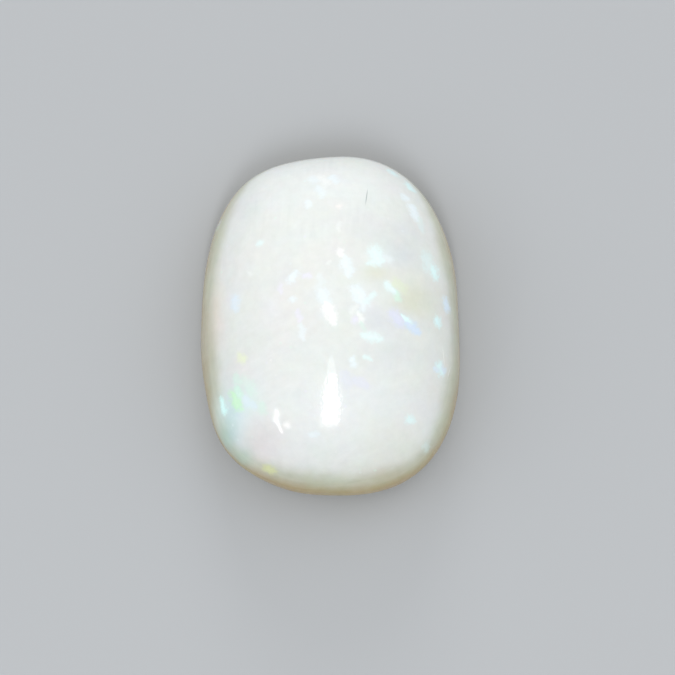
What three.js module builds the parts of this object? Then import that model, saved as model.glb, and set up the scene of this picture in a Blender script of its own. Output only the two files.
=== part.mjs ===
// A polished white opal cabochon: one cushion-shaped stone with a high dome and a flat back.
// Millimetres, +Z up. The stone lies on its back with its length along Y and its width along X.
// The origin is the centre of the flat back.

import * as THREE from "three";

// Size of the stone before its hand-cut flats
const HALF_WIDTH = 4.52;
const HALF_LENGTH = 6.07;
const DOME_HEIGHT = 3.6;
const GIRDLE_HEIGHT = 1.0; // from the flat back up to the widest level

// The back is smaller than the girdle, and the wall below the girdle rolls in to meet it
const BACK_SHARE = 0.93;

// Exponent of the superellipse: an oval at the crown, squarer towards the girdle
const CROWN_EXPONENT = 2.0;
const GIRDLE_EXPONENT = 2.63;

// The stone was shaped by hand: it narrows slightly towards +Y and leans slightly
const NARROWING = 0.047;
const LEAN = 0.0124;

// Hand-cut flats (negative) and swells (positive) of the outline. Angles in degrees
// counter-clockwise from +X, pushes in millimetres.
const FACING_MARKS = [
  { at: 25, spread: 14, push: 0.04 },
  { at: 80, spread: 12, push: 0.02 },
  { at: 104, spread: 14, push: -0.12 },
  { at: 212, spread: 14, push: -0.08 },
  { at: 247, spread: 13, push: -0.12 },
  { at: 330, spread: 16, push: 0.02 },
];

// Fineness of the faceted solid
const SEGMENTS = 96;
const DOME_RINGS = 28;
const WALL_RINGS = 6;

const QUARTER_TURN = Math.PI / 2;

// Turns an angle difference in degrees into the nearest one, from -180 to 180
function nearestTurn(degrees) {
  return degrees - 360 * Math.round(degrees / 360);
}

// How far the hand-cut marks move the outline in or out at an angle in radians
function markPush(angle) {
  const degrees = THREE.MathUtils.radToDeg(angle);
  return FACING_MARKS.reduce((sum, { at, spread, push }) => {
    const away = nearestTurn(degrees - at) / spread;
    return sum + push * Math.exp(-away * away);
  }, 0);
}

// Radius of the level outline at an angle, for a share of the way from the axis to the girdle
function outlineRadius(angle, share) {
  const exponent = CROWN_EXPONENT + (GIRDLE_EXPONENT - CROWN_EXPONENT) * share * share;
  const across = Math.abs(Math.cos(angle) / HALF_WIDTH) ** exponent;
  const along = Math.abs(Math.sin(angle) / HALF_LENGTH) ** exponent;
  return (across + along) ** (-1 / exponent) + markPush(angle);
}

// Half section of the stone from the centre of its back, round the wall, to the crown.
// x is the share of the way from the axis to the girdle and y is the height.
function sectionProfile() {
  const profile = [new THREE.Vector2(0, 0)];
  for (let ring = 0; ring < WALL_RINGS; ring += 1) {
    const turn = QUARTER_TURN * (1 - ring / WALL_RINGS);
    const share = BACK_SHARE + (1 - BACK_SHARE) * Math.cos(turn);
    profile.push(new THREE.Vector2(share, GIRDLE_HEIGHT * (1 - Math.sin(turn))));
  }
  for (let ring = 0; ring < DOME_RINGS; ring += 1) {
    const turn = (QUARTER_TURN * ring) / DOME_RINGS;
    profile.push(new THREE.Vector2(Math.cos(turn), GIRDLE_HEIGHT + DOME_HEIGHT * Math.sin(turn)));
  }
  profile.push(new THREE.Vector2(0, GIRDLE_HEIGHT + DOME_HEIGHT));
  return profile;
}

// Moves every vertex of the turned form out to the stone's own outline, level by level
function fitToOutline(geometry) {
  const places = geometry.attributes.position;
  for (let index = 0; index < places.count; index += 1) {
    const share = Math.hypot(places.getX(index), places.getY(index));
    const angle = Math.atan2(places.getY(index), places.getX(index));
    const radius = share * outlineRadius(angle, share);
    const across = radius * Math.cos(angle);
    const along = radius * Math.sin(angle);
    const narrowed = across * (1 - (NARROWING * along) / HALF_LENGTH);
    places.setX(index, narrowed);
    places.setY(index, along - LEAN * across);
  }
}

// Centres the stone's outline on the origin and leaves the back at height zero
function centreOnBack(geometry) {
  geometry.computeBoundingBox();
  const middle = geometry.boundingBox.getCenter(new THREE.Vector3());
  geometry.translate(-middle.x, -middle.y, 0);
}

function buildStone() {
  const geometry = new THREE.LatheGeometry(sectionProfile(), SEGMENTS);
  geometry.rotateX(QUARTER_TURN);
  fitToOutline(geometry);
  centreOnBack(geometry);
  geometry.computeVertexNormals();
  const whiteOpal = new THREE.MeshStandardMaterial({
    color: 0xeef2ec,
    roughness: 0.1,
    metalness: 0,
  });
  const stone = new THREE.Mesh(geometry, whiteOpal);
  stone.name = "opal_cabochon";
  return stone;
}

const cabochon = new THREE.Group();
cabochon.add(buildStone());

export default cabochon;
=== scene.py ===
"""A polished white opal cabochon on a plain pale floor.

The stone is one closed surface on a grid of two parameters: the angle round the stone and the
place along its half section, from the middle of the flat back, round the wall and over the dome.
Its play of colour is a listed set of flakes and pale veils, carried by the mesh as
attributes and broken up by the material. Sizes are in millimetres until a mesh is made.
"""

import logging
import math
from dataclasses import dataclass
from enum import Enum
from typing import Any

import bpy
import numpy as np
from mathutils import Matrix, Vector


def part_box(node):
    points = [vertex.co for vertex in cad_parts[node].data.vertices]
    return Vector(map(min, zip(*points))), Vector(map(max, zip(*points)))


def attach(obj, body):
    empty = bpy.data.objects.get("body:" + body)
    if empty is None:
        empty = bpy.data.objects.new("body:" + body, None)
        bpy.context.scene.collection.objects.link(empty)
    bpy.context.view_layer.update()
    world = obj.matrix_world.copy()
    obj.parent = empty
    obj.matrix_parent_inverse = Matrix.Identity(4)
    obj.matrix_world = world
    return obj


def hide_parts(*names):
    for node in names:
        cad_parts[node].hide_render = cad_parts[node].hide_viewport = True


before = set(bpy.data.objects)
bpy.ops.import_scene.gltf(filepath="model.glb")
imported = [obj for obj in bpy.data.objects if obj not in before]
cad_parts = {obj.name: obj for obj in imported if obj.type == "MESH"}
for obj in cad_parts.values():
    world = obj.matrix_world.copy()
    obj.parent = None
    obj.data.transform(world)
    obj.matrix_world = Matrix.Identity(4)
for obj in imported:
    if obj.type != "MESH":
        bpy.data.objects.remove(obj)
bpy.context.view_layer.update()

NODE = "opal_cabochon"
MM = 0.001
PHOTO_SIDE = 675
FULL_TURN = 2 * math.pi
QUARTER_TURN = math.pi / 2

Tree = bpy.types.NodeTree
Socket = bpy.types.NodeSocket

log = logging.getLogger("opal")


def linear(code: str) -> np.ndarray:
    """Turns an sRGB hex colour into linear red, green and blue, each from 0 to 1."""
    share = np.array([int(code[place:place + 2], 16) for place in (1, 3, 5)]) / 255
    return np.where(share <= 0.04045, share / 12.92, ((share + 0.055) / 1.055) ** 2.4)


def rgba(code: str) -> tuple[float, ...]:
    """Gives an sRGB hex colour as linear red, green, blue and an alpha of 1."""
    return (*linear(code).tolist(), 1.0)


def eased(value: np.ndarray, low: float, high: float) -> np.ndarray:
    """Eases from 0 at low to 1 at high, as 3t^2 - 2t^3 of the clamped share t of the way."""
    share = np.clip((value - low) / (high - low), 0, 1)
    return share * share * (3 - 2 * share)


def add(
    tree: Tree, kind: str, inputs: dict[str | int, Any] | None = None, **settings: Any
) -> bpy.types.Node:
    """Adds one node with its settings and links.

    Args:
        tree: The node tree that gets the node.
        kind: Blender's name for the node type.
        inputs: Socket name or number to its value, or to the output that feeds it.
        **settings: The node's own properties.

    Returns:
        The new node.
    """
    node = tree.nodes.new(kind)
    for name, value in settings.items():
        setattr(node, name, value)
    for key, value in (inputs or {}).items():
        if isinstance(value, Socket):
            tree.links.new(value, node.inputs[key])
        else:
            node.inputs[key].default_value = value
    return node


class Hue(Enum):
    """The colours of the stone's body, veils and flakes, as the eye sees them in white light.

    The rim's shell and khaki also carry painted shade.
    """

    WHITE = "#F1F1F0"
    PEARL = "#EAEEED"
    ICE = "#E2ECF0"
    SEAFOAM = "#DDEDED"
    CYAN = "#DAF4F5"
    GLINT = "#DAFFFC"
    SKY = "#D7E8F5"
    BLUE = "#CADDF3"
    VIOLET = "#D6DAEE"
    LILAC = "#E2E1EF"
    ROSE = "#F0EBE9"
    MAUVE = "#D3CDD1"
    GREEN = "#C9F0CE"
    MINT = "#CDEFDF"
    LIME = "#DAE8C2"
    YELLOW = "#E2ECC8"
    GOLD = "#D3D8A4"
    OCHRE = "#D0D3BE"
    SLATE = "#C9D0D3"
    TEAL = "#BBDAD8"
    VERDIGRIS = "#AAC8BF"
    MILK = "#DADEDB"
    FROST = "#E2E6E7"
    BLUSH = "#DDD7D9"
    CREAM = "#E4D9C6"
    LAVENDER = "#C9CFDD"
    # Rim colours: partly the stone's own warm edge, partly painted shade
    SHELL_AND_SHADE = "#BFC3B2"
    SAND = "#B8B29B"
    KHAKI_AND_SHADE = "#AF9F76"
    BEIGE = "#C4BAA0"


@dataclass(frozen=True)
class FacingMark:
    """A hand-cut flat (negative push) or swell (positive push) of the outline.

    at and spread are in degrees counter-clockwise from +X, and push is in millimetres.
    """

    at: float
    spread: float
    push: float

    def bell(self, degrees: np.ndarray) -> np.ndarray:
        """Gives the push times a bell curve of the angle from the mark."""
        away = (degrees - self.at + 180) % 360 - 180
        return self.push * np.exp(-((away / self.spread) ** 2))


@dataclass(frozen=True)
class Outline:
    """The level outline of the stone: an oval at the crown that grows squarer to the girdle.

    narrowing is the share that the width loses at the +Y end, and lean is how far each
    millimetre of width drops the length.
    """

    half_width: float = 4.52
    half_length: float = 6.07
    crown_exponent: float = 2.0
    girdle_exponent: float = 2.63
    narrowing: float = 0.047
    lean: float = 0.0124
    marks: tuple[FacingMark, ...] = (
        FacingMark(25, 14, 0.04),
        FacingMark(80, 12, 0.02),
        FacingMark(104, 14, -0.12),
        FacingMark(212, 14, -0.08),
        FacingMark(247, 13, -0.12),
        FacingMark(330, 16, 0.02),
    )

    def radius(self, angle: np.ndarray, share: np.ndarray) -> np.ndarray:
        """Gives the outline's radius at a level.

        The superellipse radius is (|cos a / half_width|^n + |sin a / half_length|^n)^(-1/n),
        where n goes from the crown's exponent to the girdle's with the square of the share.
        Each facing mark adds its push times a bell curve of the angle from the mark.

        Args:
            angle: Angle round the stone, in radians.
            share: Share of the way from the axis to the girdle.

        Returns:
            Radius in millimetres.
        """
        power = self.crown_exponent + (self.girdle_exponent - self.crown_exponent) * share**2
        across = np.abs(np.cos(angle) / self.half_width) ** power
        along = np.abs(np.sin(angle) / self.half_length) ** power
        radius = (across + along) ** (-1 / power)
        return radius + sum(mark.bell(np.degrees(angle)) for mark in self.marks)

    def place(self, angle: np.ndarray, share: np.ndarray) -> tuple[np.ndarray, np.ndarray]:
        """Gives a level point: share times the radius, narrowed towards +Y and leant a little.

        Args:
            angle: Angle round the stone, in radians.
            share: Share of the way from the axis to the girdle.

        Returns:
            x and y in millimetres.
        """
        reach = share * self.radius(angle, share)
        across, along = reach * np.cos(angle), reach * np.sin(angle)
        narrowed = across * (1 - self.narrowing * along / self.half_length)
        return narrowed, along - self.lean * across


@dataclass(frozen=True)
class Wave:
    """One shallow wave over the level plane, such as hand polishing left in the dome.

    length is in millimetres from crest to crest and heading is in degrees. height is in
    millimetres for the dome, and in heights of the unit normal for the rim's boundary. phase
    is in radians.
    """

    length: float
    heading: float
    height: float
    phase: float

    def lift(self, x: np.ndarray, y: np.ndarray) -> np.ndarray:
        """Gives the height times the sine of the level distance along the heading.

        Args:
            x: Places across the stone, in millimetres.
            y: Places along the stone, in millimetres.

        Returns:
            The wave's height at each place, in the unit of its own height.
        """
        heading = math.radians(self.heading)
        along = x * math.cos(heading) + y * math.sin(heading)
        return self.height * np.sin(FULL_TURN * along / self.length + self.phase)


@dataclass(frozen=True)
class Stone:
    """The whole cabochon as one closed surface. Sizes are in millimetres.

    back_share is the back's size as a share of the girdle's, and columns and rings are the
    fineness of the surface's grid.
    """

    outline: Outline = Outline()
    dome_height: float = 3.6
    girdle_height: float = 1.0
    back_share: float = 0.93
    columns: int = 560
    back_rings: int = 8
    wall_rings: int = 26
    dome_rings: int = 136
    waves: tuple[Wave, ...] = (
        Wave(2.6, 20, 0.0040, 0.4),
        Wave(1.9, 105, 0.0026, 2.1),
        Wave(1.3, 63, 0.0013, 4.4),
        Wave(0.9, 150, 0.0007, 1.2),
    )

    def section(self) -> tuple[np.ndarray, np.ndarray]:
        """Works out the half section, without its ends on the axis.

        The back is level, the wall is a quarter of an ellipse from the back's edge up to the
        girdle, and the dome is a quarter of an ellipse from the girdle to the crown.

        Returns:
            Share of the way to the girdle, and height in millimetres, ring by ring.
        """
        back = np.linspace(0, 1, self.back_rings + 1)[1:-1] * self.back_share
        roll = np.linspace(QUARTER_TURN, 0, self.wall_rings, endpoint=False)
        wall = self.back_share + (1 - self.back_share) * np.cos(roll)
        climb = np.linspace(0, QUARTER_TURN, self.dome_rings, endpoint=False)
        share = np.concatenate([back, wall, np.cos(climb)])
        height = np.concatenate([
            np.zeros_like(back),
            self.girdle_height * (1 - np.sin(roll)),
            self.girdle_height + self.dome_height * np.sin(climb),
        ])
        return share, height

    def surface(self) -> tuple[np.ndarray, np.ndarray, np.ndarray]:
        """Works out the surface on its grid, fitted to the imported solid's box.

        Each ring is the outline at its share, at its height. The whole is moved and scaled by
        a hair so that its box is the frame's. The waves then lift or sink the dome by a sum
        of sines of the level distance along each wave's heading, which fades out to the wall.

        Returns:
            Points (rings, columns, 3), the back's middle and the crown, in millimetres.
        """
        share, height = self.section()
        angle = np.linspace(0, FULL_TURN, self.columns, endpoint=False)
        shares, angles = np.meshgrid(share, angle, indexing="ij")
        x, y = self.outline.place(angles, shares)
        points = np.stack([x, y, np.broadcast_to(height[:, None], x.shape)], axis=-1)
        low, high = (np.array(corner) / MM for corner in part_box(NODE))
        crown = np.array([0, 0, self.girdle_height + self.dome_height])
        own_low, own_high = points.min(axis=(0, 1)), np.maximum(points.max(axis=(0, 1)), crown)
        fit = (high - low) / (own_high - own_low)
        points, crown, back = ((place - own_low) * fit + low for place in (points, crown, np.zeros(3)))
        fade = eased(points[..., 2], self.girdle_height, 2 * self.girdle_height)
        points[..., 2] += fade * self.ripple(points[..., 0], points[..., 1])
        crown[2] += float(self.ripple(crown[0], crown[1]))
        return points, back, crown

    def ripple(self, x: np.ndarray, y: np.ndarray) -> np.ndarray:
        """Sums the polishing waves' heights at a level place, in millimetres."""
        return sum(wave.lift(x, y) for wave in self.waves)

    def build(self) -> bpy.types.Object:
        """Makes the closed mesh: quads between the rings and a fan at each pole.

        Returns:
            The stone's object, at the origin, with its place in its mesh.
        """
        points, back, crown = self.surface()
        rings, columns = points.shape[:2]
        vertices = np.concatenate([points.reshape(-1, 3), [back], [crown]]) * MM
        index = np.arange(rings * columns).reshape(rings, columns)
        after = np.roll(index, -1, axis=1)
        quads = np.stack([index[:-1], after[:-1], after[1:], index[1:]], axis=-1).reshape(-1, 4)
        back_pole, crown_pole = rings * columns, rings * columns + 1
        low_fan = np.stack([after[0], index[0], np.full(columns, back_pole)], axis=-1)
        high_fan = np.stack([index[-1], after[-1], np.full(columns, crown_pole)], axis=-1)
        mesh = bpy.data.meshes.new("polished_opal")
        mesh.from_pydata(vertices.tolist(), [], quads.tolist() + low_fan.tolist() + high_fan.tolist())
        mesh.polygons.foreach_set("use_smooth", np.ones(len(mesh.polygons), bool))
        mesh.update()
        stone = bpy.data.objects.new("polished_opal", mesh)
        bpy.context.scene.collection.objects.link(stone)
        return stone

    def dress(self, stone: bpy.types.Object) -> None:
        """Paints the play of colour on the stone, and gives it the finish of polished opal."""
        PlayOfColour().paint(stone)
        stone.data.materials.append(PolishedOpal().make())


@dataclass(frozen=True)
class Flake:
    """A lit flake of play of colour, as a stroke between two places seen from above.

    start, end and width are in millimetres, and strength is its share of the body's colour.
    """

    start: tuple[float, float]
    end: tuple[float, float]
    width: float
    hue: Hue
    strength: float


@dataclass(frozen=True)
class Veil:
    """A wide pale zone of body colour, as an oval seen from above, in millimetres.

    The warm rim hides it, unless over_rim is set.
    """

    centre: tuple[float, float]
    reach: tuple[float, float]
    hue: Hue
    strength: float
    over_rim: bool = False


FLAKES = (
    # The long white flake left of the middle, and its paler upper end
    Flake((-0.16, -0.08), (0.13, -0.78), 0.36, Hue.WHITE, 1.0),
    Flake((-0.32, 0.33), (-0.14, -0.03), 0.35, Hue.ICE, 0.7),
    Flake((-0.35, 0.84), (-0.32, 0.44), 0.28, Hue.ICE, 0.35),
    # The lens above it, and the broad flake to the lens's right
    Flake((0.37, 1.80), (0.41, 1.65), 0.21, Hue.WHITE, 0.8),
    Flake((0.51, 1.58), (0.68, 0.88), 0.36, Hue.ICE, 0.80),
    Flake((1.57, 1.82), (1.65, 1.55), 0.40, Hue.SEAFOAM, 1.0),
    Flake((1.34, 1.42), (1.89, 1.51), 0.28, Hue.SEAFOAM, 0.9),
    Flake((1.93, 1.63), (2.07, 1.56), 0.24, Hue.ICE, 0.45),
    # The slanted flake with a green tail
    Flake((1.93, 0.70), (2.27, 0.34), 0.28, Hue.SEAFOAM, 1.0),
    Flake((2.28, 0.36), (2.37, 0.16), 0.22, Hue.MINT, 0.6),
    Flake((2.27, 0.70), (2.50, 0.58), 0.33, Hue.LIME, 0.42),
    # The forked flake in the middle, and the chain that runs down from it
    Flake((0.93, 0.32), (1.12, 0.03), 0.36, Hue.ICE, 1.0),
    Flake((1.51, 0.27), (1.23, -0.03), 0.24, Hue.SEAFOAM, 0.9),
    Flake((1.13, -0.11), (1.13, -0.28), 0.21, Hue.ICE, 0.75),
    Flake((0.89, -0.22), (0.75, -0.44), 0.18, Hue.PEARL, 0.45),
    Flake((0.85, -0.65), (0.86, -0.72), 0.21, Hue.LILAC, 0.7),
    Flake((0.99, -0.50), (1.09, -0.74), 0.22, Hue.PEARL, 0.9),
    Flake((1.09, -0.74), (1.16, -1.05), 0.17, Hue.MINT, 0.3),
    Flake((1.13, -1.19), (1.75, -1.26), 0.31, Hue.SEAFOAM, 1.0),
    Flake((1.30, -1.21), (1.72, -1.22), 0.18, Hue.ICE, 0.8),
    # The violet and blue flake on the right, with its bright core
    Flake((2.21, -0.41), (2.41, -0.63), 0.38, Hue.VIOLET, 0.75),
    Flake((2.67, -0.62), (3.02, -0.92), 0.33, Hue.BLUE, 0.8),
    Flake((2.48, -0.41), (2.84, -0.67), 0.22, Hue.CYAN, 1.0),
    # Small ones below the middle
    Flake((1.13, -1.88), (1.44, -2.03), 0.16, Hue.SEAFOAM, 0.9),
    Flake((0.78, -2.03), (0.78, -2.20), 0.20, Hue.ICE, 0.9),
    Flake((0.51, -2.59), (0.61, -2.83), 0.36, Hue.VIOLET, 0.35),
    Flake((0.80, -2.69), (1.23, -2.88), 0.32, Hue.VIOLET, 0.41),
    Flake((-0.64, -4.45), (-0.45, -4.46), 0.20, Hue.ICE, 0.7),
    Flake((-1.49, -4.08), (-1.51, -4.17), 0.20, Hue.WHITE, 1.0),
    # The curve of small bluish ones left of the middle
    Flake((-1.35, 0.80), (-1.21, 0.94), 0.26, Hue.ICE, 0.85),
    Flake((-1.70, 0.65), (-1.70, 0.40), 0.18, Hue.LILAC, 0.5),
    Flake((-0.87, 0.89), (-0.70, 0.88), 0.18, Hue.LILAC, 0.6),
    Flake((-1.28, 0.05), (-1.25, 0.04), 0.21, Hue.ICE, 0.75),
    Flake((-1.11, -0.32), (-1.04, -0.74), 0.20, Hue.LILAC, 0.55),
    Flake((-1.00, -0.85), (-0.94, -1.30), 0.25, Hue.ICE, 0.6),
    # Streaks and specks near the narrow end
    Flake((-0.60, 4.72), (-0.42, 4.70), 0.34, Hue.ICE, 0.6),
    Flake((-0.33, 4.75), (-0.12, 4.56), 0.34, Hue.PEARL, 0.65),
    Flake((0.09, 4.74), (0.17, 4.65), 0.28, Hue.ICE, 0.75),
    Flake((-0.36, 4.39), (-0.25, 3.92), 0.29, Hue.ICE, 0.55),
    Flake((-0.73, 3.69), (-0.73, 3.61), 0.21, Hue.ICE, 0.85),
    Flake((0.31, 3.55), (0.34, 3.55), 0.18, Hue.ROSE, 0.6),
    Flake((0.30, 2.90), (0.34, 2.60), 0.17, Hue.PEARL, 0.4),
    Flake((-2.44, 2.25), (-2.40, 2.25), 0.20, Hue.SEAFOAM, 0.8),
    Flake((-2.77, 1.18), (-2.74, 1.17), 0.16, Hue.PEARL, 0.4),
    Flake((-0.04, 1.34), (-0.01, 1.35), 0.14, Hue.PEARL, 0.4),
    # The string of bright specks down the right shoulder
    Flake((2.16, 5.25), (2.27, 5.18), 0.32, Hue.CYAN, 0.8),
    Flake((2.80, 4.73), (2.84, 4.64), 0.34, Hue.CYAN, 1.0),
    Flake((2.65, 4.12), (2.68, 4.09), 0.29, Hue.ICE, 1.0),
    Flake((2.89, 3.75), (3.05, 3.34), 0.36, Hue.ICE, 1.0),
    Flake((3.09, 3.35), (3.23, 2.93), 0.29, Hue.CYAN, 0.3),
    Flake((3.40, 1.86), (3.43, 1.57), 0.48, Hue.CYAN, 0.45),
    Flake((3.54, 1.52), (3.64, 1.34), 0.40, Hue.CYAN, 1.0),
    Flake((4.03, 0.40), (4.08, 0.25), 0.36, Hue.SKY, 1.0),
    Flake((3.74, -0.35), (3.74, -0.41), 0.30, Hue.CYAN, 1.0),
    Flake((3.66, -2.04), (3.98, -2.02), 0.30, Hue.SKY, 0.8),
    Flake((3.78, -1.97), (3.83, -2.07), 0.34, Hue.CYAN, 1.0),
    Flake((2.72, -3.87), (2.79, -3.87), 0.27, Hue.CYAN, 0.75),
    Flake((3.29, -4.58), (3.32, -4.66), 0.30, Hue.CYAN, 0.4),
    # The green and blue fire at the lower left
    Flake((-3.11, -1.71), (-3.04, -1.79), 0.28, Hue.YELLOW, 0.65),
    Flake((-3.26, -2.42), (-3.12, -2.58), 0.32, Hue.MINT, 0.5),
    Flake((-3.32, -2.97), (-3.22, -3.29), 0.41, Hue.GREEN, 1.0),
    Flake((-3.23, -2.79), (-3.15, -2.95), 0.30, Hue.MINT, 0.8),
    Flake((-2.97, -3.17), (-2.63, -3.44), 0.31, Hue.SKY, 0.5),
    Flake((-3.77, -3.07), (-3.69, -3.38), 0.27, Hue.GLINT, 1.0),
    Flake((-2.98, -2.53), (-2.77, -2.83), 0.39, Hue.MINT, 0.35),
    Flake((-2.39, -3.40), (-2.32, -3.63), 0.26, Hue.MINT, 0.40),
    Flake((-2.18, -5.36), (-2.08, -5.38), 0.34, Hue.GOLD, 0.9),
    Flake((-3.30, 0.34), (-3.27, 0.08), 0.32, Hue.SKY, 0.60),
)

VEILS = (
    Veil((0.1, 4.7), (2.8, 1.1), Hue.FROST, 0.50),
    Veil((0.3, -3.9), (3.4, 1.7), Hue.FROST, 0.50),
    Veil((0.2, -3.5), (2.6, 1.1), Hue.ICE, 0.17),
    Veil((-3.0, 4.0), (0.7, 0.9), Hue.SLATE, 0.28),
    Veil((1.3, 2.6), (0.8, 0.9), Hue.SLATE, 0.25),
    Veil((2.5, 1.8), (0.60, 0.65), Hue.SLATE, 0.60),
    Veil((2.5, 2.7), (0.75, 0.60), Hue.SLATE, 0.35),
    Veil((2.85, 0.2), (0.75, 0.70), Hue.OCHRE, 0.70),
    Veil((1.6, 1.05), (0.55, 0.30), Hue.OCHRE, 0.55),
    Veil((1.6, -0.6), (0.60, 0.45), Hue.LAVENDER, 0.34),
    Veil((2.4, -1.6), (1.00, 0.50), Hue.SLATE, 0.25),
    Veil((2.2, -4.9), (1.20, 0.70), Hue.OCHRE, 0.30),
    Veil((-0.1, -0.2), (0.40, 0.75), Hue.ICE, 0.22),
    Veil((0.55, 1.30), (0.30, 0.55), Hue.ICE, 0.15),
    Veil((1.65, 1.65), (0.50, 0.35), Hue.ICE, 0.25),
    Veil((1.05, 0.10), (0.45, 0.45), Hue.ICE, 0.25),
    Veil((2.15, 0.50), (0.35, 0.30), Hue.ICE, 0.25),
    Veil((2.60, -0.60), (0.50, 0.28), Hue.BLUE, 0.25),
    Veil((1.40, -1.20), (0.50, 0.25), Hue.ICE, 0.25),
    Veil((-1.4, 0.0), (0.9, 1.0), Hue.BLUSH, 0.32),
    Veil((0.2, 2.2), (0.6, 1.0), Hue.BLUSH, 0.25),
    Veil((-1.9, -0.3), (0.5, 0.8), Hue.LILAC, 0.15),
    Veil((-3.4, 0.3), (0.35, 0.45), Hue.LILAC, 0.30),
    Veil((-4.0, -0.6), (0.40, 0.80), Hue.BLUSH, 0.50),
    Veil((-3.2, -2.3), (0.50, 0.55), Hue.BLUSH, 0.35),
    Veil((-2.9, -3.3), (0.45, 0.45), Hue.MINT, 0.40),
    Veil((-3.0, -3.2), (0.70, 0.80), Hue.SKY, 0.12),
    Veil((-3.4, -3.8), (0.50, 0.70), Hue.SKY, 0.60),
    Veil((-3.5, -3.4), (0.35, 0.80), Hue.TEAL, 0.42),
    Veil((-2.4, -4.6), (0.75, 0.60), Hue.MAUVE, 0.60),
    Veil((-2.4, -5.0), (0.35, 0.25), Hue.ROSE, 0.25),
    # The veils below lie over the rim, whose darker tone is partly painted shade; the sand, cream and
    # khaki ones retint that shaded rim
    Veil((-3.86, -3.4), (0.25, 0.60), Hue.CYAN, 0.38, over_rim=True),
    Veil((-3.60, -4.25), (0.38, 0.55), Hue.VERDIGRIS, 0.70, over_rim=True),
    Veil((-3.05, -4.90), (0.40, 0.30), Hue.VERDIGRIS, 0.45, over_rim=True),
    Veil((-4.40, -0.80), (0.30, 0.90), Hue.SAND, 0.60, over_rim=True),
    Veil((-3.97, 0.10), (0.28, 1.15), Hue.CREAM, 0.36, over_rim=True),
    Veil((-2.55, -4.95), (0.45, 0.35), Hue.BLUSH, 0.22, over_rim=True),
    Veil((1.70, -5.62), (0.90, 0.28), Hue.KHAKI_AND_SHADE, 0.20, over_rim=True),
)


@dataclass(frozen=True)
class Stroke:
    """A flake's stroke in the stone. Its two ends and its width are in millimetres."""

    start: np.ndarray
    end: np.ndarray
    width: float
    hue: Hue
    strength: float


@dataclass(frozen=True)
class FarWallFlakes:
    """Faint flakes strewn over the upper part of the far wall, which the photo doesn't show.

    rise is the height of the wall's unit normal there, and rise_spread is its reach either way.
    facing is the least share of the normal that points to +Y. reach, width and strength each
    hold a lowest and a highest value, the first two in millimetres.
    """

    seed: int = 11
    count: int = 14
    rise: float = 0.14
    rise_spread: float = 0.09
    facing: float = 0.30
    # How freely the strokes head along X, Y and Z
    freedom: tuple[float, float, float] = (1, 1, 0.8)
    reach: tuple[float, float] = (0.15, 0.50)
    width: tuple[float, float] = (0.13, 0.24)
    strength: tuple[float, float] = (0.20, 0.42)
    hues: tuple[Hue, ...] = (Hue.CYAN, Hue.MINT, Hue.BLUE, Hue.GREEN, Hue.SKY)
    # Keeps a stroke whose ends share a vertex from having no length, in millimetres
    nudge: float = 1e-4

    def strokes(self, points: np.ndarray, normals: np.ndarray) -> list[Stroke]:
        """Strews the flakes: each starts at a random vertex and runs a short way along the wall.

        Args:
            points: Vertices in millimetres.
            normals: Their unit normals.

        Returns:
            The strokes, which are the same in every run.
        """
        draw = np.random.default_rng(self.seed)
        upright = np.abs(normals[:, 2] - self.rise) < self.rise_spread
        pool = np.flatnonzero(upright & (normals[:, 1] > self.facing))
        strewn = []
        for number in range(self.count):
            first = draw.choice(pool)
            heading = draw.normal(size=3) * self.freedom
            heading -= (heading @ normals[first]) * normals[first]
            target = points[first] + heading / np.linalg.norm(heading) * draw.uniform(*self.reach)
            last = ((points - target) ** 2).sum(axis=1).argmin()
            width = draw.uniform(*self.width)
            strength = draw.uniform(*self.strength)
            hue = self.hues[number % len(self.hues)]
            strewn.append(Stroke(points[first], points[last] + self.nudge, width, hue, strength))
        return strewn


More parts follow.
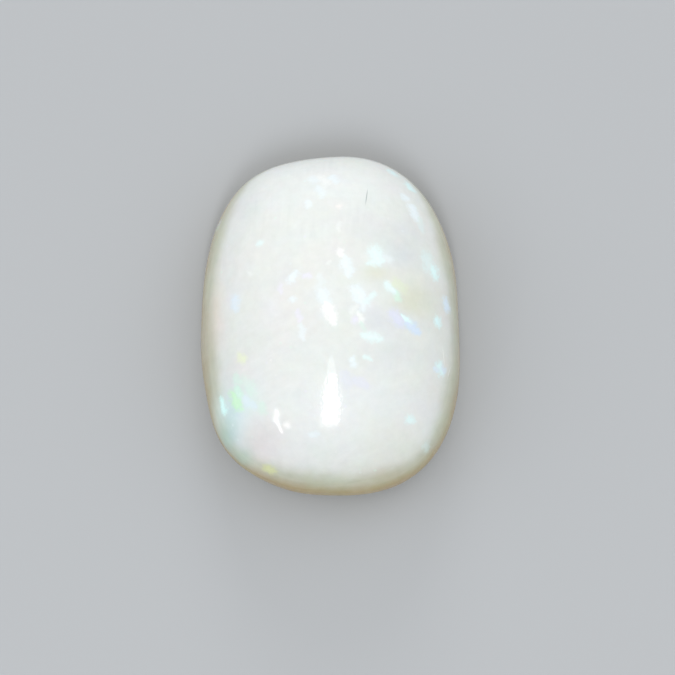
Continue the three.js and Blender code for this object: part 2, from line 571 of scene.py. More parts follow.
@dataclass(frozen=True)
class PlayOfColour:
    """Everything that is coloured inside the stone, painted on its mesh as attributes.

    The limits are heights of the surface's unit normal, which is 1 where the surface is level,
    0 where it is upright and -1 on the back. Each pair says where an easing begins and ends.
    """

    flakes: tuple[Flake, ...] = FLAKES
    veils: tuple[Veil, ...] = VEILS
    far_flakes: FarWallFlakes = FarWallFlakes()
    # The rim's shell and khaki are partly its own warm edge colour, partly painted shade by slope
    shell_and_shade_limits: tuple[float, float] = (0.66, 0.435)
    khaki_and_shade_limits: tuple[float, float] = (0.50, 0.08)
    beige_limits: tuple[float, float] = (0.00, -0.60)
    veil_limits: tuple[float, float] = (0.00, 0.25)
    shift_limits: tuple[float, float] = (0.00, 0.20)
    back_limits: tuple[float, float] = (-0.80, -0.97)
    # Where the rim is thinner (positive push) or thicker: push is in heights of the normal
    rim_marks: tuple[FacingMark, ...] = (
        FacingMark(86, 52, 0.27),
        FacingMark(46, 14, 0.04),
        FacingMark(22, 7, -0.02),
        FacingMark(10, 9, -0.05),
        FacingMark(0, 8, 0.10),
        FacingMark(147, 20, -0.05),
        FacingMark(190, 8, -0.02),
        FacingMark(220, 18, 0.11),
        FacingMark(306, 12, 0.03),
    )
    # The rim's boundary wanders: lengths in millimetres, heights in heights of the normal
    rim_waves: tuple[Wave, ...] = (
        Wave(3.1, 35, 0.012, 0.7),
        Wave(1.7, 118, 0.008, 2.9),
        Wave(0.9, 74, 0.007, 5.1),
        Wave(0.55, 152, 0.006, 1.6),
    )
    # The placed flakes lie on the dome above this height, in millimetres
    dome_floor: float = 0.8
    # Shallow wander of the flakes' outlines: wavelength and reach in millimetres, and how many
    # times longer the second wave is that bends the first
    wander_length: float = 0.42
    wander_reach: float = 0.030
    wander_stretch: float = 1.7
    # How much narrower a long flake's ends are, and how sharply flakes that overlap part
    taper: float = 0.45
    blend: float = 7.0
    # A trace of white, which keeps the sum of the flakes' weights above zero
    trace: float = 1e-6
    # The patch of the polish with the coarsest scratches, in millimetres
    worn_middle: tuple[float, float, float] = (-0.05, -3.4, 4.0)
    worn_reach: float = 0.85

    def body(self, points: np.ndarray, normals: np.ndarray) -> tuple[np.ndarray, np.ndarray]:
        """Works out the slow changes of body colour.

        It starts milky white, and takes the veils. Then the steep rim turns to a warm shell
        colour and on to khaki, and the underside to beige, each by the slope of the surface.
        The shell and khaki are partly the stone's own warm edge and partly painted shade.
        Each rim mark shifts the rim by its push times a bell curve of the angle between the
        mark and the side that the surface faces, and the rim's waves shift it a little more.
        A few veils lie over the rim.

        Args:
            points: Vertices in millimetres.
            normals: Their unit normals.

        Returns:
            Linear red, green and blue of each vertex, and its share of the rim.
        """
        colour = np.tile(linear(Hue.MILK.value), (len(points), 1))
        rise = normals[:, 2]
        self.lay_veils(colour, points, rise, over_rim=False)
        facing = np.degrees(np.arctan2(normals[:, 1], normals[:, 0]))
        shift = sum(mark.bell(facing) for mark in self.rim_marks)
        shift = shift + sum(wave.lift(points[:, 0], points[:, 1]) for wave in self.rim_waves)
        turned = rise + shift * eased(rise, *self.shift_limits)
        # Shell and khaki darken the rim by its slope: partly the stone's warm edge, partly painted
        # shade
        for hue, slope, (begins, ends) in (
            (Hue.SHELL_AND_SHADE, turned, self.shell_and_shade_limits),
            (Hue.KHAKI_AND_SHADE, turned, self.khaki_and_shade_limits),
            (Hue.BEIGE, rise, self.beige_limits),
        ):
            colour += eased(slope, begins, ends)[:, None] * (linear(hue.value) - colour)
        self.lay_veils(colour, points, rise, over_rim=True)
        return colour, eased(turned, *self.shell_and_shade_limits)

    def lay_veils(
        self, colour: np.ndarray, points: np.ndarray, rise: np.ndarray, over_rim: bool
    ) -> None:
        """Mixes the veils into the colour, in place.

        Each takes its strength times a bell curve of the level distance from its centre, in
        shares of its reach, and stays on the upper side of the stone.

        Args:
            colour: Linear red, green and blue of each vertex, which this changes.
            points: Vertices in millimetres.
            rise: Heights of their unit normals.
            over_rim: Whether to lay the veils over the rim, or else those that it hides.
        """
        upper = eased(rise, *self.veil_limits)
        for veil in self.veils:
            if veil.over_rim == over_rim:
                away = (points[:, :2] - veil.centre) / veil.reach
                share = veil.strength * np.exp(-(away**2).sum(axis=1)) * upper
                colour += share[:, None] * (linear(veil.hue.value) - colour)

    def fire(
        self, points: np.ndarray, normals: np.ndarray
    ) -> tuple[np.ndarray, np.ndarray, np.ndarray]:
        """Works out the flakes.

        A flake's edge value is 1 less the distance from its stroke over half its width, so it
        is 1 along the stroke, 0 at the flake's edge and negative outside. Each vertex takes
        the highest edge value there, and the flakes' colours and strengths blend by weights
        that grow with e to the blend times the edge value. A flake longer than its width
        tapers to its ends with the square of the way from its middle. The places are first
        bent by a short sine of the next coordinate, so that no flake has a straight outline.

        Args:
            points: Vertices in millimetres.
            normals: Their unit normals.

        Returns:
            Edge value from -1 to 1, strength, and linear colour of each vertex.
        """
        edge = np.full(len(points), -1.0)
        total = np.full(len(points), self.trace)
        strength = np.zeros(len(points))
        colour = np.tile(self.trace * linear(Hue.WHITE.value), (len(points), 1))
        phase = FULL_TURN / self.wander_length * points
        second = np.sin(phase[:, [2, 0, 1]] / self.wander_stretch)
        bent = points + self.wander_reach * np.sin(phase[:, [1, 2, 0]] + second)
        for stroke in self.placed_strokes(points) + self.far_flakes.strokes(points, normals):
            along = stroke.end - stroke.start
            share = np.clip((bent - stroke.start) @ along / (along @ along), 0, 1)
            away = np.linalg.norm(bent - stroke.start - share[:, None] * along, axis=1)
            taper = self.taper * np.clip(np.linalg.norm(along) / stroke.width - 1, 0, 1)
            value = 1 - 2 * away / (stroke.width * (1 - taper * (2 * share - 1) ** 2))
            edge = np.maximum(edge, value)
            weight = np.where(value > -1, np.exp(self.blend * value), 0)
            total += weight
            strength += weight * stroke.strength
            colour += weight[:, None] * linear(stroke.hue.value)
        return edge, strength / total, colour / total[:, None]

    def placed_strokes(self, points: np.ndarray) -> list[Stroke]:
        """Lifts the placed flakes onto the dome.

        Args:
            points: Vertices in millimetres.

        Returns:
            The flakes' strokes.
        """
        dome = points[points[:, 2] > self.dome_floor]
        return [
            Stroke(
                self.on_dome(dome, flake.start),
                self.on_dome(dome, flake.end),
                flake.width,
                flake.hue,
                flake.strength,
            )
            for flake in self.flakes
        ]

    @staticmethod
    def on_dome(dome: np.ndarray, place: tuple[float, float]) -> np.ndarray:
        """Lifts a level place onto the dome, at the height of the nearest vertex."""
        nearest = ((dome[:, :2] - place) ** 2).sum(axis=1).argmin()
        return np.array([*place, dome[nearest, 2]])

    def paint(self, stone: bpy.types.Object) -> None:
        """Writes the colours, the flakes and the finish's zones on the mesh as attributes.

        The worn patch is a bell curve of the distance from its middle.

        Args:
            stone: The stone, with its place in its mesh.
        """
        mesh = stone.data
        count = len(mesh.vertices)
        points, normals = np.empty(count * 3), np.empty(count * 3)
        mesh.vertices.foreach_get("co", points)
        mesh.vertex_normals.foreach_get("vector", normals)
        points, normals = points.reshape(-1, 3) / MM, normals.reshape(-1, 3)
        body, rim = self.body(points, normals)
        edge, strength, fire = self.fire(points, normals)
        worn = np.exp(-((points - self.worn_middle) ** 2).sum(axis=1) / self.worn_reach**2)
        for name, value in (
            ("fire_edge", edge),
            ("fire_strength", strength),
            ("rim_tone_and_shade_share", rim),
            ("ground_back", eased(normals[:, 2], *self.back_limits)),
            ("worn_polish", worn),
        ):
            mesh.attributes.new(name, "FLOAT", "POINT").data.foreach_set("value", value)
        for name, value in (("body_colour", body), ("fire_colour", fire)):
            filled = np.column_stack([value, np.ones(count)])
            mesh.attributes.new(name, "FLOAT_COLOR", "POINT").data.foreach_set("color", filled.ravel())


@dataclass(frozen=True)
class Hairline:
    """A fine line in the stone: its middle, length and width in millimetres, and its turn.

    turn is in degrees from the stone's length, and depth is the line's share of the colour.
    """

    centre: tuple[float, float]
    length: float
    width: float
    turn: float
    hue: str
    depth: float


@dataclass(frozen=True)
class Silk:
    """Fine streaks in the milk, of one direction, over one half of the stone's length.

    fine and long are the streaks' sizes across and along, in millimetres. turn is in degrees
    from the stone's length. The streaks fade in between the two places along Y, in millimetres,
    and depth is their share of the colour.
    """

    fine: float
    long: float
    turn: float
    fades: tuple[float, float]
    depth: float


@dataclass(frozen=True)
class PolishedOpal:
    """White precious opal: milky hydrated silica, domed by hand and polished to a wet gloss.

    The milk scatters light under the surface, so shadows are soft. The polish mirrors lamps
    sharply, with edges frayed by the finest scratches. The back is only smooth ground.

    Names that end in _mm are sizes in millimetres, _share and _depth are shares of the colour,
    and _limits are the values of a pattern, from 0 to 1 for a noise, where it fades in.
    """

    ior: float = 1.45
    milkiness: float = 0.22
    # How far light wanders in the milk, in millimetres, for red, green and blue
    wander: tuple[float, float, float] = (0.42, 0.32, 0.25)
    # Roughness of the polish, how far it drifts either way, and of the ground back
    polish: float = 0.06
    polish_drift: float = 0.02
    smear_mm: float = 0.8
    smear_limits: tuple[float, float] = (0.3, 0.7)
    ground: float = 0.42
    # Slow pastel drifts, and the fine grey mottle
    cloud_mm: float = 1.1
    cloud_share: float = 0.030
    mottle_mm: float = 0.30
    mottle_share: float = 0.042
    # How much the silk is warped, and the patches that it comes and goes in
    silk_warp: float = 0.4
    patch_mm: float = 1.6
    patch_limits: tuple[float, float] = (0.38, 0.62)
    # Thickness and breadth of the rim's layers, their tilt about X and Y in degrees, and warp
    layer_mm: tuple[float, float] = (0.22, 2.4)
    layer_depth: float = 0.06
    layer_tilt: tuple[float, float] = (4, -3)
    layer_warp: float = 0.3
    # Pinfire: the size of its mosaic's cells, how rare the lit ones are, and where it shows
    spark_mm: float = 0.17
    spark_rarity: float = 0.91
    spark_share: float = 0.40
    spark_limits: tuple[float, float] = (0.50, 0.10)
    spark_zone_mm: float = 2.2
    spark_zone_limits: tuple[float, float] = (0.46, 0.62)
    spark_hues: tuple[Hue, ...] = (Hue.ICE, Hue.SEAFOAM, Hue.WHITE, Hue.MINT, Hue.PEARL, Hue.LILAC)
    # The flakes' torn edges: the noise counts fray_share times, and is added to the edge value
    fray_mm: float = 0.10
    fray_share: float = 1.8
    cover_limits: tuple[float, float] = (-0.10, 1.85)
    # The flakes' whitened cores are a painted highlight
    painted_highlight_limits: tuple[float, float] = (1.35, 2.00)
    painted_highlight_share: float = 0.15
    # How far from its middle a hairline fades, in shares of its length and width
    line_limits: tuple[float, float] = (0.55, 0.15)
    # Real polishing scratches are far finer: these are as coarse as they need to be to show.
    # The last value is their strength away from the worn patch.
    scratch_mm: float = 0.09
    scratch_height_mm: float = 0.0051
    scratch_least: float = 0.01
    # The back's grinding lines: size across and along, turn in degrees from X, and height
    grind_mm: tuple[float, float] = (0.09, 2.5)
    grind_turn: float = 24
    grind_height_mm: float = 0.006
    silks: tuple[Silk, ...] = (
        Silk(0.16, 1.6, -4, (0.5, 2.5), 0.030),
        Silk(0.22, 1.3, -66, (1.0, -1.5), 0.036),
    )
    hairlines: tuple[Hairline, ...] = (
        Hairline((1.29, 3.96), 0.80, 0.050, -7, "#8F9A9C", 0.65),
        Hairline((3.93, -1.55), 0.75, 0.035, 6, "#F2F5F2", 0.55),
        Hairline((4.12, -2.05), 0.55, 0.030, -14, "#F2F5F2", 0.45),
    )

    def make(self) -> bpy.types.Material:
        """Builds the stone's material.

        Returns:
            The material, with its nodes.
        """
        material = bpy.data.materials.new("white_opal_polished")
        material.use_nodes = True
        tree = material.node_tree
        tree.nodes.clear()
        place = add(tree, "ShaderNodeTexCoord").outputs["Object"]
        colour = self.body(tree, place)
        for silk in self.silks:
            colour = self.streak(tree, place, colour, silk)
        rim = add(tree, "ShaderNodeAttribute", attribute_name="rim_tone_and_shade_share").outputs["Fac"]
        colour = self.layers(tree, place, colour, rim)
        colour = self.sparks(tree, place, colour, rim)
        colour = self.fire(tree, place, colour)
        for line in self.hairlines:
            colour = self.draw_line(tree, place, colour, line)
        shader = add(tree, "ShaderNodeBsdfPrincipled", {
            "Base Color": colour,
            "Roughness": self.roughness(tree, place),
            "IOR": self.ior,
            "Subsurface Weight": self.milkiness,
            "Subsurface Radius": self.wander,
            "Subsurface Scale": MM,
            "Normal": self.relief(tree, place),
        })
        add(tree, "ShaderNodeOutputMaterial", {"Surface": shader.outputs["BSDF"]})
        return material

    def body(self, tree: Tree, place: Socket) -> Socket:
        """Clouds the painted body colour with slow pastel drifts and a fine grey mottle.

        Args:
            tree: The material's node tree.
            place: The surface's place on the stone.

        Returns:
            The clouded colour.
        """
        base = add(tree, "ShaderNodeAttribute", attribute_name="body_colour").outputs["Color"]
        clouds = add(tree, "ShaderNodeTexNoise", {
            "Vector": place, "Scale": 1 / (self.cloud_mm * MM), "Detail": 4.0, "Roughness": 0.6,
        })
        clouded = add(tree, "ShaderNodeMixRGB", {
            "Fac": self.cloud_share, "Color1": base, "Color2": clouds.outputs["Color"],
        }, blend_type="LINEAR_LIGHT")
        mottle = add(tree, "ShaderNodeTexNoise", {
            "Vector": place, "Scale": 1 / (self.mottle_mm * MM), "Detail": 3.0, "Roughness": 0.6,
        })
        mottled = add(tree, "ShaderNodeMixRGB", {
            "Fac": self.mottle_share,
            "Color1": clouded.outputs["Color"],
            "Color2": mottle.outputs["Fac"],
        }, blend_type="LINEAR_LIGHT")
        return mottled.outputs["Color"]

    def streak(self, tree: Tree, place: Socket, colour: Socket, silk: Silk) -> Socket:
        """Draws one set of silky streaks: a stretched noise, faded along the stone's length.

        Args:
            tree: The material's node tree.
            place: The surface's place on the stone.
            colour: The colour under the streaks.
            silk: The streaks' sizes, turn and place.

        Returns:
            The streaked colour.
        """
        stretched = add(tree, "ShaderNodeMapping", {
            "Vector": place,
            "Rotation": (0, 0, math.radians(silk.turn)),
            "Scale": (silk.fine * MM, silk.long * MM, silk.long * MM),
        }, vector_type="TEXTURE")
        lines = add(tree, "ShaderNodeTexNoise", {
            "Vector": stretched.outputs["Vector"],
            "Scale": 1.0,
            "Detail": 3.0,
            "Distortion": self.silk_warp,
        })
        along = add(tree, "ShaderNodeSeparateXYZ", {"Vector": place})
        begins, ends = silk.fades
        zone = add(tree, "ShaderNodeMapRange", {
            "Value": along.outputs["Y"],
            "From Min": begins * MM,
            "From Max": ends * MM,
            "To Max": silk.depth,
        }, interpolation_type="SMOOTHSTEP")
        patches = add(tree, "ShaderNodeTexNoise", {
            "Vector": place, "Scale": 1 / (self.patch_mm * MM), "Detail": 1.0,
        })
        bare, full = self.patch_limits
        patchy = add(tree, "ShaderNodeMapRange", {
            "Value": patches.outputs["Fac"], "From Min": bare, "From Max": full,
        })
        share = add(tree, "ShaderNodeMath", {
            0: zone.outputs["Result"], 1: patchy.outputs["Result"],
        }, operation="MULTIPLY")
        streaked = add(tree, "ShaderNodeMixRGB", {
            "Fac": share.outputs["Value"], "Color1": colour, "Color2": lines.outputs["Fac"],
        }, blend_type="LINEAR_LIGHT")
        return streaked.outputs["Color"]

    def layers(self, tree: Tree, place: Socket, colour: Socket, rim: Socket) -> Socket:
        """Draws faint, nearly level cloudy layers in the rim, as the silica settled in them.

        Args:
            tree: The material's node tree.
            place: The surface's place on the stone.
            colour: The colour under the layers.
            rim: The share of the rim, from 0 to 1.

        Returns:
            The layered colour.
        """
        thick, wide = self.layer_mm
        about_x, about_y = self.layer_tilt
        stretched = add(tree, "ShaderNodeMapping", {
            "Vector": place,
            "Rotation": (math.radians(about_x), math.radians(about_y), 0),
            "Scale": (wide * MM, wide * MM, thick * MM),
        }, vector_type="TEXTURE")
        bands = add(tree, "ShaderNodeTexNoise", {
            "Vector": stretched.outputs["Vector"],
            "Scale": 1.0,
            "Detail": 3.0,
            "Distortion": self.layer_warp,
        })
        share = add(tree, "ShaderNodeMath", {0: rim, 1: self.layer_depth}, operation="MULTIPLY")
        layered = add(tree, "ShaderNodeMixRGB", {
            "Fac": share.outputs["Value"], "Color1": colour, "Color2": bands.outputs["Fac"],
        }, blend_type="LINEAR_LIGHT")
        return layered.outputs["Color"]

    def sparks(self, tree: Tree, place: Socket, colour: Socket, rim: Socket) -> Socket:
        """Sprinkles faint pinfire: a few cells of a fine mosaic, each one point of pastel light.

        The rim has none.

        Args:
            tree: The material's node tree.
            place: The surface's place on the stone.
            colour: The colour under the pinfire.
            rim: The share of the rim, from 0 to 1.

        Returns:
            The sprinkled colour.
        """
        cells = add(tree, "ShaderNodeTexVoronoi", {
            "Vector": place, "Scale": 1 / (self.spark_mm * MM),
        })
        lot = add(tree, "ShaderNodeSeparateColor", {"Color": cells.outputs["Color"]})
        chosen = add(tree, "ShaderNodeMapRange", {
            "Value": lot.outputs["Red"],
            "From Min": self.spark_rarity,
            "From Max": 1.0,
            "To Max": self.spark_share,
        })
        outside, inside = self.spark_limits
        point = add(tree, "ShaderNodeMapRange", {
            "Value": cells.outputs["Distance"], "From Min": outside, "From Max": inside,
        }, interpolation_type="SMOOTHSTEP")
        zone = add(tree, "ShaderNodeTexNoise", {
            "Vector": place, "Scale": 1 / (self.spark_zone_mm * MM), "Detail": 1.0,
        })
        bare, full = self.spark_zone_limits
        patchy = add(tree, "ShaderNodeMapRange", {
            "Value": zone.outputs["Fac"], "From Min": bare, "From Max": full,
        })
        spread = add(tree, "ShaderNodeMath", {
            0: chosen.outputs["Result"], 1: point.outputs["Result"],
        }, operation="MULTIPLY")
        milk = add(tree, "ShaderNodeMath", {0: 1.0, 1: rim}, operation="SUBTRACT")
        within = add(tree, "ShaderNodeMath", {
            0: patchy.outputs["Result"], 1: milk.outputs["Value"],
        }, operation="MULTIPLY")
        share = add(tree, "ShaderNodeMath", {
            0: spread.outputs["Value"], 1: within.outputs["Value"],
        }, operation="MULTIPLY")
        tints = add(tree, "ShaderNodeValToRGB", {"Fac": lot.outputs["Green"]})
        self.fill_ramp(tints.color_ramp, self.spark_hues)
        mixed = add(tree, "ShaderNodeMixRGB", {
            "Fac": share.outputs["Value"], "Color1": colour, "Color2": tints.outputs["Color"],
        })
        return mixed.outputs["Color"]

    @staticmethod
    def fill_ramp(ramp: bpy.types.ColorRamp, hues: tuple[Hue, ...]) -> None:
        """Spreads hues evenly over a colour ramp, in steps.

        Args:
            ramp: The ramp of a colour ramp node, which this changes.
            hues: The hues, from the ramp's start to its end.
        """
        ramp.interpolation = "CONSTANT"
        while len(ramp.elements) < len(hues):
            ramp.elements.new(1.0)
        for number, hue in enumerate(hues):
            ramp.elements[number].position = number / len(hues)
            ramp.elements[number].color = rgba(hue.value)

    def fire(self, tree: Tree, place: Socket, colour: Socket) -> Socket:
        """Lays the painted flakes over the body.

        A fine noise breaks their edges, which fade softly, and their cores whiten: a painted
        highlight.

        Args:
            tree: The material's node tree.
            place: The surface's place on the stone.
            colour: The colour under the flakes.

        Returns:
            The colour with its flakes.
        """
        edge = add(tree, "ShaderNodeAttribute", attribute_name="fire_edge")
        strength = add(tree, "ShaderNodeAttribute", attribute_name="fire_strength")
        hue = add(tree, "ShaderNodeAttribute", attribute_name="fire_colour")
        fray = add(tree, "ShaderNodeTexNoise", {
            "Vector": place, "Scale": 1 / (self.fray_mm * MM), "Detail": 2.0,
        })
        torn = add(tree, "ShaderNodeMath", {
            0: fray.outputs["Fac"], 1: self.fray_share, 2: edge.outputs["Fac"],
        }, operation="MULTIPLY_ADD")
        outside, inside = self.cover_limits
        cover = add(tree, "ShaderNodeMapRange", {
            "Value": torn.outputs["Value"], "From Min": outside, "From Max": inside,
        }, interpolation_type="SMOOTHSTEP")
        # Painted highlight: each flake's core whitens
        dull, bright = self.painted_highlight_limits
        core = add(tree, "ShaderNodeMapRange", {
            "Value": torn.outputs["Value"],
            "From Min": dull,
            "From Max": bright,
            "To Max": self.painted_highlight_share,
        }, interpolation_type="SMOOTHSTEP")
        share = add(tree, "ShaderNodeMath", {
            0: cover.outputs["Result"], 1: strength.outputs["Fac"],
        }, operation="MULTIPLY")
        lit = add(tree, "ShaderNodeMixRGB", {
            "Fac": core.outputs["Result"],
            "Color1": hue.outputs["Color"],
            "Color2": rgba(Hue.WHITE.value),
        })
        mixed = add(tree, "ShaderNodeMixRGB", {
            "Fac": share.outputs["Value"], "Color1": colour, "Color2": lit.outputs["Color"],
        })
        return mixed.outputs["Color"]

    def draw_line(self, tree: Tree, place: Socket, colour: Socket, line: Hairline) -> Socket:
        """Draws one hairline as a thin stretched spot, seen from above.

        Args:
            tree: The material's node tree.
            place: The surface's place on the stone.
            colour: The colour under the line.
            line: The hairline.

        Returns:
            The colour with its line.
        """
        across, along = line.centre
        flat = add(tree, "ShaderNodeVectorMath", {0: place, 1: (1, 1, 0)}, operation="MULTIPLY")
        spot = add(tree, "ShaderNodeMapping", {
            "Vector": flat.outputs["Vector"],
            "Location": (across * MM, along * MM, 0),
            "Rotation": (0, 0, math.radians(line.turn)),
            "Scale": (line.width * MM, line.length * MM, 1.0),
        }, vector_type="TEXTURE")
        away = add(tree, "ShaderNodeVectorMath", {0: spot.outputs["Vector"]}, operation="LENGTH")
        outside, inside = self.line_limits
        mark = add(tree, "ShaderNodeMapRange", {
            "Value": away.outputs["Value"],
            "From Min": outside,
            "From Max": inside,
            "To Max": line.depth,
        }, interpolation_type="SMOOTHSTEP")
        drawn = add(tree, "ShaderNodeMixRGB", {
            "Fac": mark.outputs["Result"], "Color1": colour, "Color2": rgba(line.hue),
        })
        return drawn.outputs["Color"]

    def roughness(self, tree: Tree, place: Socket) -> Socket:
        """Gives the dome and wall a glossy polish, and the back a satin ground face.

        Args:
            tree: The material's node tree.
            place: The surface's place on the stone.

        Returns:
            The roughness.
        """
        back = add(tree, "ShaderNodeAttribute", attribute_name="ground_back")
        smear = add(tree, "ShaderNodeTexNoise", {
            "Vector": place, "Scale": 1 / (self.smear_mm * MM), "Detail": 3.0,
        })
        low, high = self.smear_limits
        polish = add(tree, "ShaderNodeMapRange", {
            "Value": smear.outputs["Fac"],
            "From Min": low,
            "From Max": high,
            "To Min": self.polish - self.polish_drift,
            "To Max": self.polish + self.polish_drift,
        })
        mixed = add(tree, "ShaderNodeMapRange", {
            "Value": back.outputs["Fac"], "To Min": polish.outputs["Result"], "To Max": self.ground,
        })
        return mixed.outputs["Result"]

    def relief(self, tree: Tree, place: Socket) -> Socket:
        """Gives the dome fine polishing scratches, and the back straight grinding lines.

        Args:
            tree: The material's node tree.
            place: The surface's place on the stone.

        Returns:
            The surface's normal with its relief.
        """
        fine = add(tree, "ShaderNodeTexNoise", {
            "Vector": place, "Scale": 1 / (self.scratch_mm * MM), "Detail": 1.0,
        })
        worn = add(tree, "ShaderNodeAttribute", attribute_name="worn_polish")
        depth = add(tree, "ShaderNodeMapRange", {
            "Value": worn.outputs["Fac"], "To Min": self.scratch_least,
        })
        polished = add(tree, "ShaderNodeBump", {
            "Strength": depth.outputs["Result"],
            "Distance": self.scratch_height_mm * MM,
            "Height": fine.outputs["Fac"],
        })
        across, along = self.grind_mm
        stretched = add(tree, "ShaderNodeMapping", {
            "Vector": place,
            "Rotation": (0, 0, math.radians(self.grind_turn)),
            "Scale": (1 / across, 1 / along, 1.0),
        })
        lines = add(tree, "ShaderNodeTexNoise", {
            "Vector": stretched.outputs["Vector"], "Scale": 1 / MM, "Detail": 2.0,
        })
        back = add(tree, "ShaderNodeAttribute", attribute_name="ground_back")
        ground = add(tree, "ShaderNodeBump", {
            "Strength": back.outputs["Fac"],
            "Distance": self.grind_height_mm * MM,
            "Height": lines.outputs["Fac"],
            "Normal": polished.outputs["Normal"],
        })
        return ground.outputs["Normal"]


@dataclass(frozen=True)
class SoftSun:
    """A broad, distant fill that the polish doesn't mirror.

    Angles are in degrees, and azimuth 0 stands before the stone.
    """

    name: str
    azimuth: float
    elevation: float
    spread: float
    strength: float
    colour: str = "#FFFFFF"


class LampShape(Enum):
    """The shapes that a panel can have."""

    ELLIPSE = "ELLIPSE"
    RECTANGLE = "RECTANGLE"


@dataclass(frozen=True)
class Panel:
    """A flat lamp that the polish mirrors as a highlight.

    low and high are the azimuth and elevation, in degrees, of the middles of its two ends as
    seen from the stone, breadth is its angular width, and radiance is its brightness.
    """

    name: str
    low: tuple[float, float]
    high: tuple[float, float]
    breadth: float
    radiance: float
    shape: LampShape = LampShape.ELLIPSE


def direction(azimuth: float, elevation: float) -> Vector:
    """Gives the unit vector towards a place round the stone.

    Args:
        azimuth: Degrees round from the front, positive towards +X.
        elevation: Degrees above the floor.

    Returns:
        The unit vector.
    """
    turn, climb = math.radians(azimuth), math.radians(elevation)
    level = math.cos(climb)
    return Vector((math.sin(turn) * level, -math.cos(turn) * level, math.sin(climb)))


@dataclass(frozen=True)
class MattPaper:
    """Pale grey matt paper, which sets off the white stone and takes its soft shadow."""

    colour: str = "#ACAFB2"
    roughness: float = 0.9
    gloss: float = 0.2

    def make(self) -> bpy.types.Material:
        """Builds the paper's material, an even grey with hardly any gloss.

        Returns:
            The material, with its nodes.
        """
        material = bpy.data.materials.new("matt_paper")
        material.use_nodes = True
        tree = material.node_tree
        tree.nodes.clear()
        shader = add(tree, "ShaderNodeBsdfPrincipled", {
            "Base Color": rgba(self.colour),
            "Roughness": self.roughness,
            "Specular IOR Level": self.gloss,
        })
        add(tree, "ShaderNodeOutputMaterial", {"Surface": shader.outputs["BSDF"]})
        return material


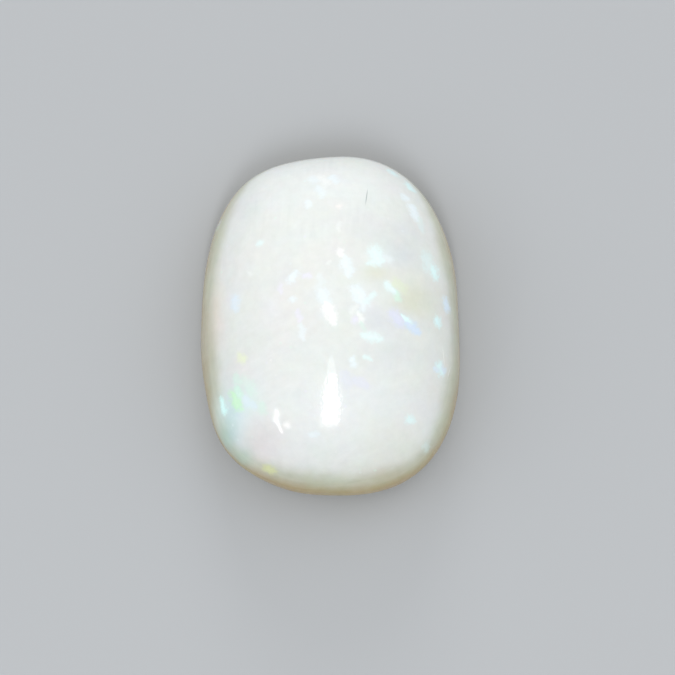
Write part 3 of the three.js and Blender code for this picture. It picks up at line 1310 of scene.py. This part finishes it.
@dataclass(frozen=True)
class Studio:
    """The pale floor, the soft lights and the camera. Sizes are in metres, except as said."""

    # The floor is a shallow bowl: level out to the first radius, then curving up to a brim
    level_radius: float = 0.40
    brim_radius: float = 1.20
    brim_height: float = 0.15
    floor_columns: int = 96
    floor_rings: int = 24
    room_light: float = 0.765
    lamp_distance: float = 0.60
    panels: tuple[Panel, ...] = (
        Panel("flash_core", (-2.2, 44), (-0.4, 63), 6.8, 8.0, LampShape.RECTANGLE),
        Panel("flash_crown", (-0.5, 46), (1, 72), 6.0, 11.0),
        Panel("flash_spire", (0, 68), (2, 82), 4.0, 2.6),
        Panel("flash_flank", (-2.4, 43.5), (-1.0, 63), 9.4, 1.5),
        Panel("flash_bloom", (-3, 40), (-3, 72), 19, 1.0),
        Panel("arc_high", (-46.2, 39.3), (-43.0, 32.6), 0.7, 24.0, LampShape.RECTANGLE),
        Panel("arc_low", (-43.2, 33.2), (-37.2, 26.9), 0.8, 18.0, LampShape.RECTANGLE),
    )
    suns: tuple[SoftSun, ...] = (
        SoftSun("far_low_fill", 180, 18, 24, 0.87),
        SoftSun("right_far_fill", 135, 45, 50, 0.38),
        SoftSun("left_fill", -100, 35, 50, 0.38),
    )
    # The camera's angle over the floor in degrees, and its distance and sensor in millimetres
    elevation: float = 76.0
    distance: float = 200.0
    sensor: float = 36.0
    # Its lens: 9 mm across the stone take 258 of the photo's pixels
    millimetres_per_pixel: float = 9.0 / 258.0
    # The point that it stands back from, and how far right of it and below it aims, in millimetres
    middle: tuple[float, float, float] = (-0.006, 0.008, 2.0)
    aim_right: float = 0.26
    aim_down: float = 0.67
    # The nearest and the farthest that it sees
    sight: tuple[float, float] = (0.01, 10.0)

    def lay_floor(self) -> None:
        """Lays the floor: rings that climb with the square of the way out to the brim."""
        outer = np.linspace(self.level_radius, self.brim_radius, self.floor_rings)
        climb = ((outer - self.level_radius) / (self.brim_radius - self.level_radius)) ** 2
        turn = np.linspace(0, FULL_TURN, self.floor_columns, endpoint=False)
        ring = np.stack([np.cos(turn), np.sin(turn)], axis=-1)
        level = outer[:, None, None] * ring
        height = np.broadcast_to((self.brim_height * climb)[:, None, None], (*level.shape[:2], 1))
        rings = np.concatenate([level, height], axis=-1).reshape(-1, 3)
        vertices = np.concatenate([rings, np.zeros((1, 3))])
        index = np.arange(level.shape[0] * level.shape[1]).reshape(level.shape[:2])
        after = np.roll(index, -1, axis=1)
        quads = np.stack([index[:-1], index[1:], after[1:], after[:-1]], axis=-1).reshape(-1, 4)
        fan = np.stack([index[0], after[0], np.full(self.floor_columns, len(vertices) - 1)], axis=-1)
        mesh = bpy.data.meshes.new("studio_floor")
        mesh.from_pydata(vertices.tolist(), [], quads.tolist() + fan.tolist())
        mesh.polygons.foreach_set("use_smooth", np.ones(len(mesh.polygons), bool))
        mesh.materials.append(MattPaper().make())
        floor = bpy.data.objects.new("studio_floor", mesh)
        bpy.context.scene.collection.objects.link(floor)

    def fill_room(self) -> None:
        """Fills the room with even soft light."""
        world = bpy.data.worlds.new("soft_room")
        world.use_nodes = True
        background = world.node_tree.nodes["Background"]
        background.inputs["Color"].default_value = (1, 1, 1, 1)
        background.inputs["Strength"].default_value = self.room_light
        bpy.context.scene.world = world

    def hang_panels(self) -> None:
        """Hangs the panels facing the stone, each with its length along the line of its ends.

        A lamp's power is its radiance times its area times pi.
        """
        for panel in self.panels:
            low, high = direction(*panel.low), direction(*panel.high)
            outward = (low + high).normalized()
            along = high - low
            length = along.length * self.lamp_distance
            breadth = math.radians(panel.breadth) * self.lamp_distance
            area = length * breadth * (math.pi / 4 if panel.shape is LampShape.ELLIPSE else 1)
            data = bpy.data.lights.new(panel.name, "AREA")
            data.shape = panel.shape.value
            data.size, data.size_y = breadth, length
            data.energy = panel.radiance * area * math.pi
            along.normalize()
            turn = Matrix((along.cross(outward), along, outward)).transposed()
            self.place_light(data, turn, outward * self.lamp_distance, True)

    def hang_suns(self) -> None:
        """Hangs the fills round the stone."""
        for sun in self.suns:
            outward = direction(sun.azimuth, sun.elevation)
            data = bpy.data.lights.new(sun.name, "SUN")
            data.angle = math.radians(sun.spread)
            data.energy = sun.strength
            data.color = linear(sun.colour)
            self.place_light(data, outward.to_track_quat("Z", "Y").to_matrix(), outward, False)

    @staticmethod
    def place_light(data: bpy.types.Light, turn: Matrix, place: Vector, mirrored: bool) -> None:
        """Puts a light in the scene, out of the camera's sight.

        Args:
            data: The light.
            turn: Its turn, with its third column pointing away from the stone.
            place: Its place, in metres.
            mirrored: Whether polished surfaces show it.
        """
        lamp = bpy.data.objects.new(data.name, data)
        lamp.matrix_world = Matrix.Translation(place) @ turn.to_4x4()
        lamp.visible_camera = False
        lamp.visible_glossy = mirrored
        bpy.context.scene.collection.objects.link(lamp)

    def set_camera(self) -> None:
        """Sets the camera: a long lens high over the stone's near end, aimed beside its middle."""
        data = bpy.data.cameras.new("camera")
        data.sensor_width = self.sensor
        data.lens = self.sensor * self.distance / (PHOTO_SIDE * self.millimetres_per_pixel)
        data.clip_start, data.clip_end = self.sight
        camera = bpy.data.objects.new("camera", data)
        back = direction(0, self.elevation)
        right = Vector((1, 0, 0))
        up = back.cross(right)
        middle = Vector(self.middle)
        place = middle + back * self.distance
        aim = middle + right * self.aim_right - up * self.aim_down
        camera.location = place * MM
        camera.rotation_euler = (place - aim).to_track_quat("Z", "Y").to_euler()
        bpy.context.scene.collection.objects.link(camera)
        bpy.context.scene.camera = camera

    def build(self) -> None:
        """Builds the floor, the room, the lights and the camera."""
        self.lay_floor()
        self.fill_room()
        self.hang_panels()
        self.hang_suns()
        self.set_camera()
        view = bpy.context.scene.view_settings
        view.view_transform = "Standard"
        view.look = "None"


def main() -> None:
    """Builds the stone and the studio, and reports each piece."""
    logging.basicConfig(level=logging.INFO, format="%(name)s: %(message)s")
    cabochon = Stone()
    stone = cabochon.build()
    cabochon.dress(stone)
    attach(stone, "root")
    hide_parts(NODE)
    log.info("%s: %d faces", stone.name, len(stone.data.polygons))
    Studio().build()
    log.info("studio: floor, lights and camera")


if __name__ == "__main__":
    main()
